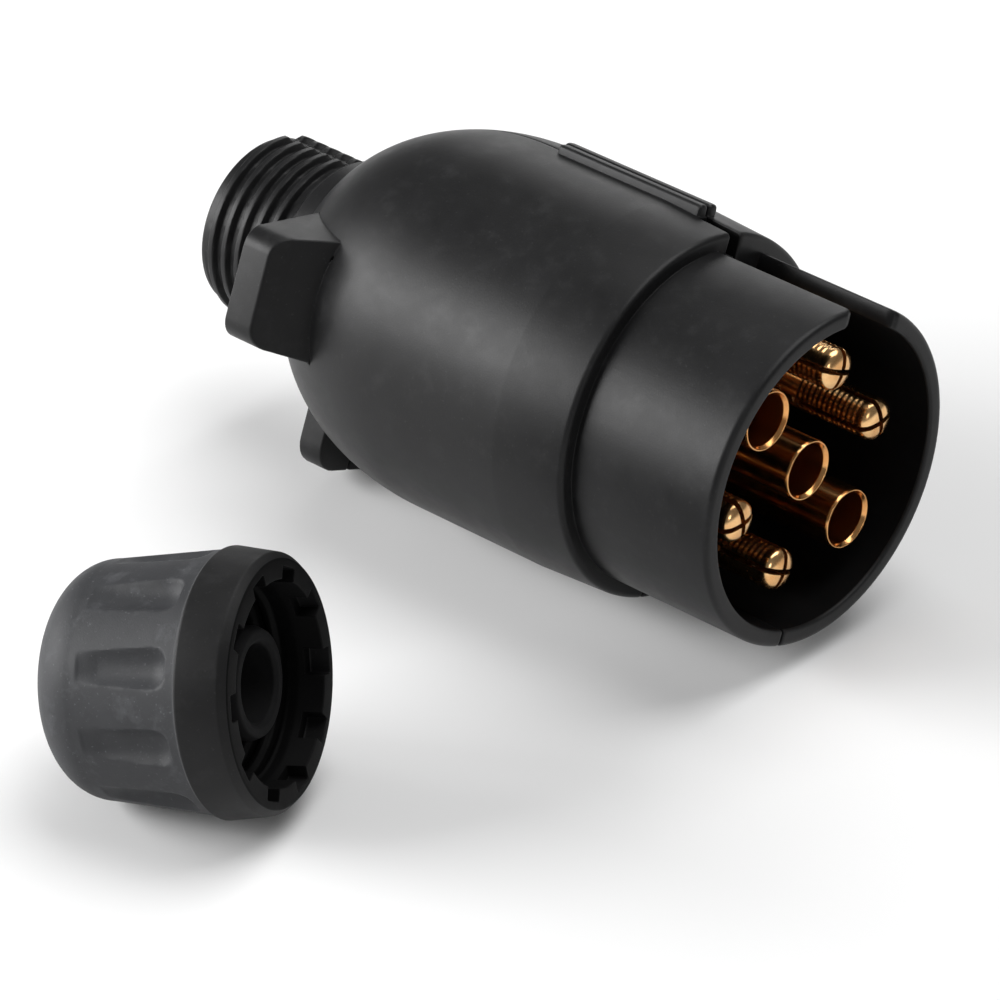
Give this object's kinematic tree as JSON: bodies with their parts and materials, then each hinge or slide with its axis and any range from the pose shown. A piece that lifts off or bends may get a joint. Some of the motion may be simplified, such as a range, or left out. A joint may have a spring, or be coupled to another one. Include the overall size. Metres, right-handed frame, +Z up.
{
  "type": "trailer wiring plug",
  "caption": "Round keyed trailer wiring plug with split pins and tubes in a shroud, a clamshell body with grip ears, and a threaded spout with its loose gland nut.",
  "frame": {"origin": "centre of the bounding box's base, on the table that the plug and its nut lie on", "axes": "+X along the plug's axis, the way it is pushed into its socket; +Z up; the seam's near half faces -Y"},
  "size_m": [0.0874, 0.1106, 0.0459],
  "materials": {
    "shell": "fine moulded texture, dull",
    "carrier": "dull black",
    "pin_brass": "polished and turned",
    "tube_brass": "polished",
    "screw": "zinc plated",
    "nut": "dull, slightly dusty",
    "washer": "smooth natural nylon",
    "grommet": "soft moulded rubber"
  },
  "bodies": {
    "far_half": {"far_shell": "shell", "contact_carrier": "carrier", "split_pin_0": "pin_brass", "split_pin_60": "pin_brass", "split_pin_180": "pin_brass", "split_pin_240": "pin_brass", "socket_tube_120": "tube_brass", "socket_tube_300": "tube_brass", "socket_tube_middle": "tube_brass", "terminal_screw_0": "screw", "terminal_screw_60": "screw", "terminal_screw_120": "screw", "terminal_screw_180": "screw", "terminal_screw_240": "screw", "terminal_screw_300": "screw", "terminal_screw_middle": "screw"},
    "near_half": {"near_shell": "shell"},
    "washer": {"thrust_washer": "washer"},
    "nut": {"gland_nut": "nut"},
    "grommet": {"cable_grommet": "grommet"}
  },
  "joints": [
    {"name": "shell_lift", "type": "slide", "parent": "far_half", "child": "near_half", "axis": [0, -0.9304, 0.3665], "range_m": [0, 0.034]},
    {"name": "nut_carry", "type": "hinge", "parent": "far_half", "child": "washer", "pos_m": [0.09577, 0.18829, 0.17245], "axis": [0.2516, 0.4948, -0.8318], "range_deg": [0, 25.21]},
    {"name": "nut_spin", "type": "hinge", "parent": "washer", "child": "nut", "pos_m": [0.02125, -0.03552, 0.01678], "axis": [0.9108, 0.3661, 0.1908], "continuous": true},
    {"name": "grommet_slide", "type": "slide", "parent": "washer", "child": "grommet", "axis": [0.9108, 0.3661, 0.1908], "range_m": [0, 0.023]}
  ]
}
